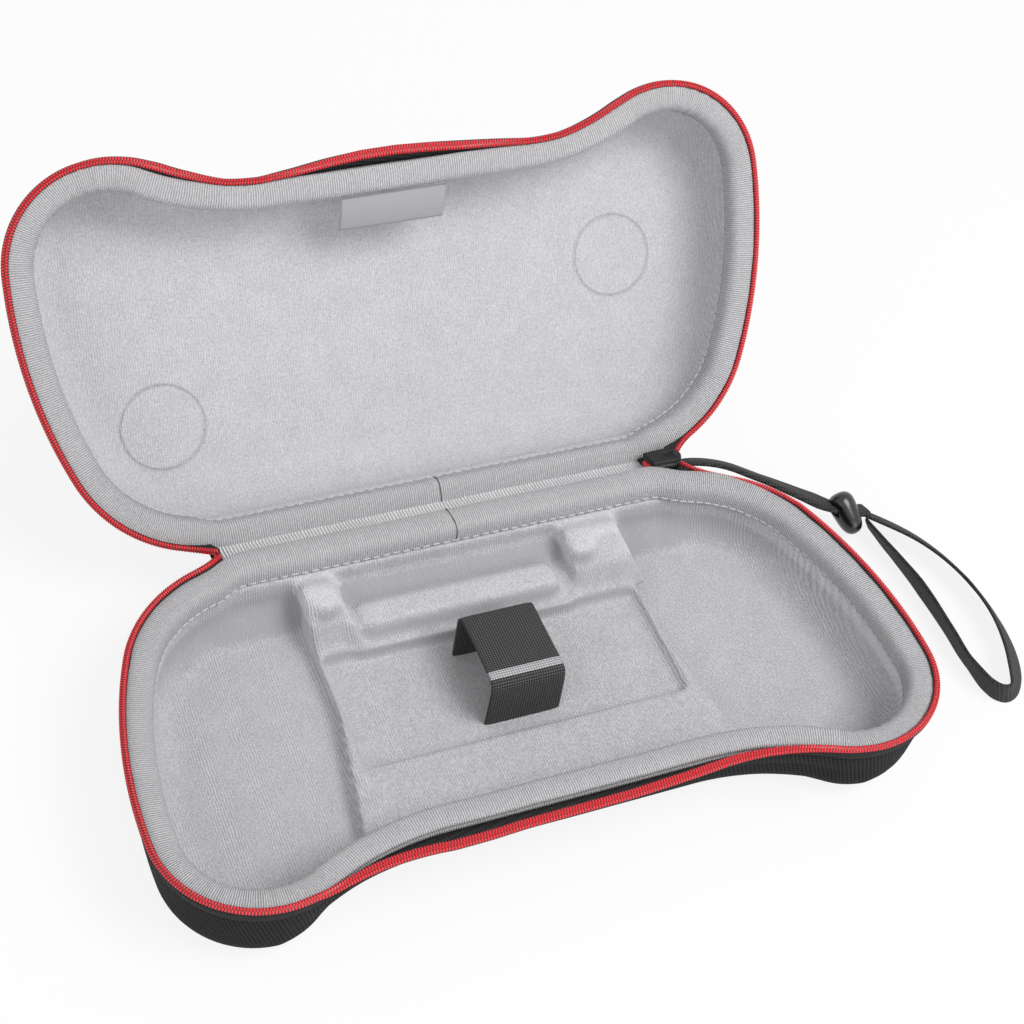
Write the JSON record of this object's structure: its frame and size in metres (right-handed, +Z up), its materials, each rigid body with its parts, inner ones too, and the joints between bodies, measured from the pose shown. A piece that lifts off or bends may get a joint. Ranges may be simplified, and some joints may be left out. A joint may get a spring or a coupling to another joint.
{
  "type": "controller carrying case",
  "caption": "Moulded zip case, open, with a fabric-hinged lid, a fitted foam tray, an elastic hold-down band and a wrist strap on the zip slider.",
  "frame": {"origin": "middle of the base's flat resting face", "axes": "+X along the case to the slider's end, +Y towards the fabric hinge, +Z up; the lid is open"},
  "size_m": [0.292, 0.2157, 0.1268],
  "materials": {
    "shell_nylon": "matte woven nylon",
    "lining": "brushed tricot",
    "binding": "fine ribbed tape",
    "thread": "sewing thread",
    "zip_tape": "woven tape",
    "zip_coil": "satin nylon coil",
    "elastic": "knitted elastic",
    "label": "woven satin",
    "slider_metal": "satin black",
    "webbing": "woven flat webbing",
    "bead_plastic": "smooth gloss"
  },
  "bodies": {
    "case_base": {"base_shell": "shell_nylon", "base_tray": "lining", "base_binding": "binding", "base_stitching": "thread", "base_zipper_tape": "zip_tape", "base_zipper_coil": "zip_coil", "elastic_band": "elastic", "hinge_lining": "binding", "hinge_web": "shell_nylon", "zipper_slider": "slider_metal", "zipper_closed_chain": "zip_coil", "wrist_strap_lead": "webbing", "wrist_strap_loop": "webbing"},
    "case_lid": {"lid_shell": "shell_nylon", "lid_lining": "lining", "lid_binding": "binding", "lid_stitching": "thread", "lid_zipper_tape": "zip_tape", "lid_zipper_coil": "zip_coil", "lid_label": "label"},
    "bead": {"strap_bead": "bead_plastic"}
  },
  "joints": [
    {"name": "lid_hinge", "type": "hinge", "parent": "case_base", "child": "case_lid", "pos_m": [0, 0.06226, 0.02756], "axis": [1, 0, 0], "range_deg": [0, 123.7], "deforming": ["hinge_lining", "hinge_web", "zipper_closed_chain"]},
    {"name": "bead_slide", "type": "slide", "parent": "case_base", "child": "bead", "axis": [-0.8734, 0.4005, 0.2769], "range_m": [0, 0.02]}
  ]
}
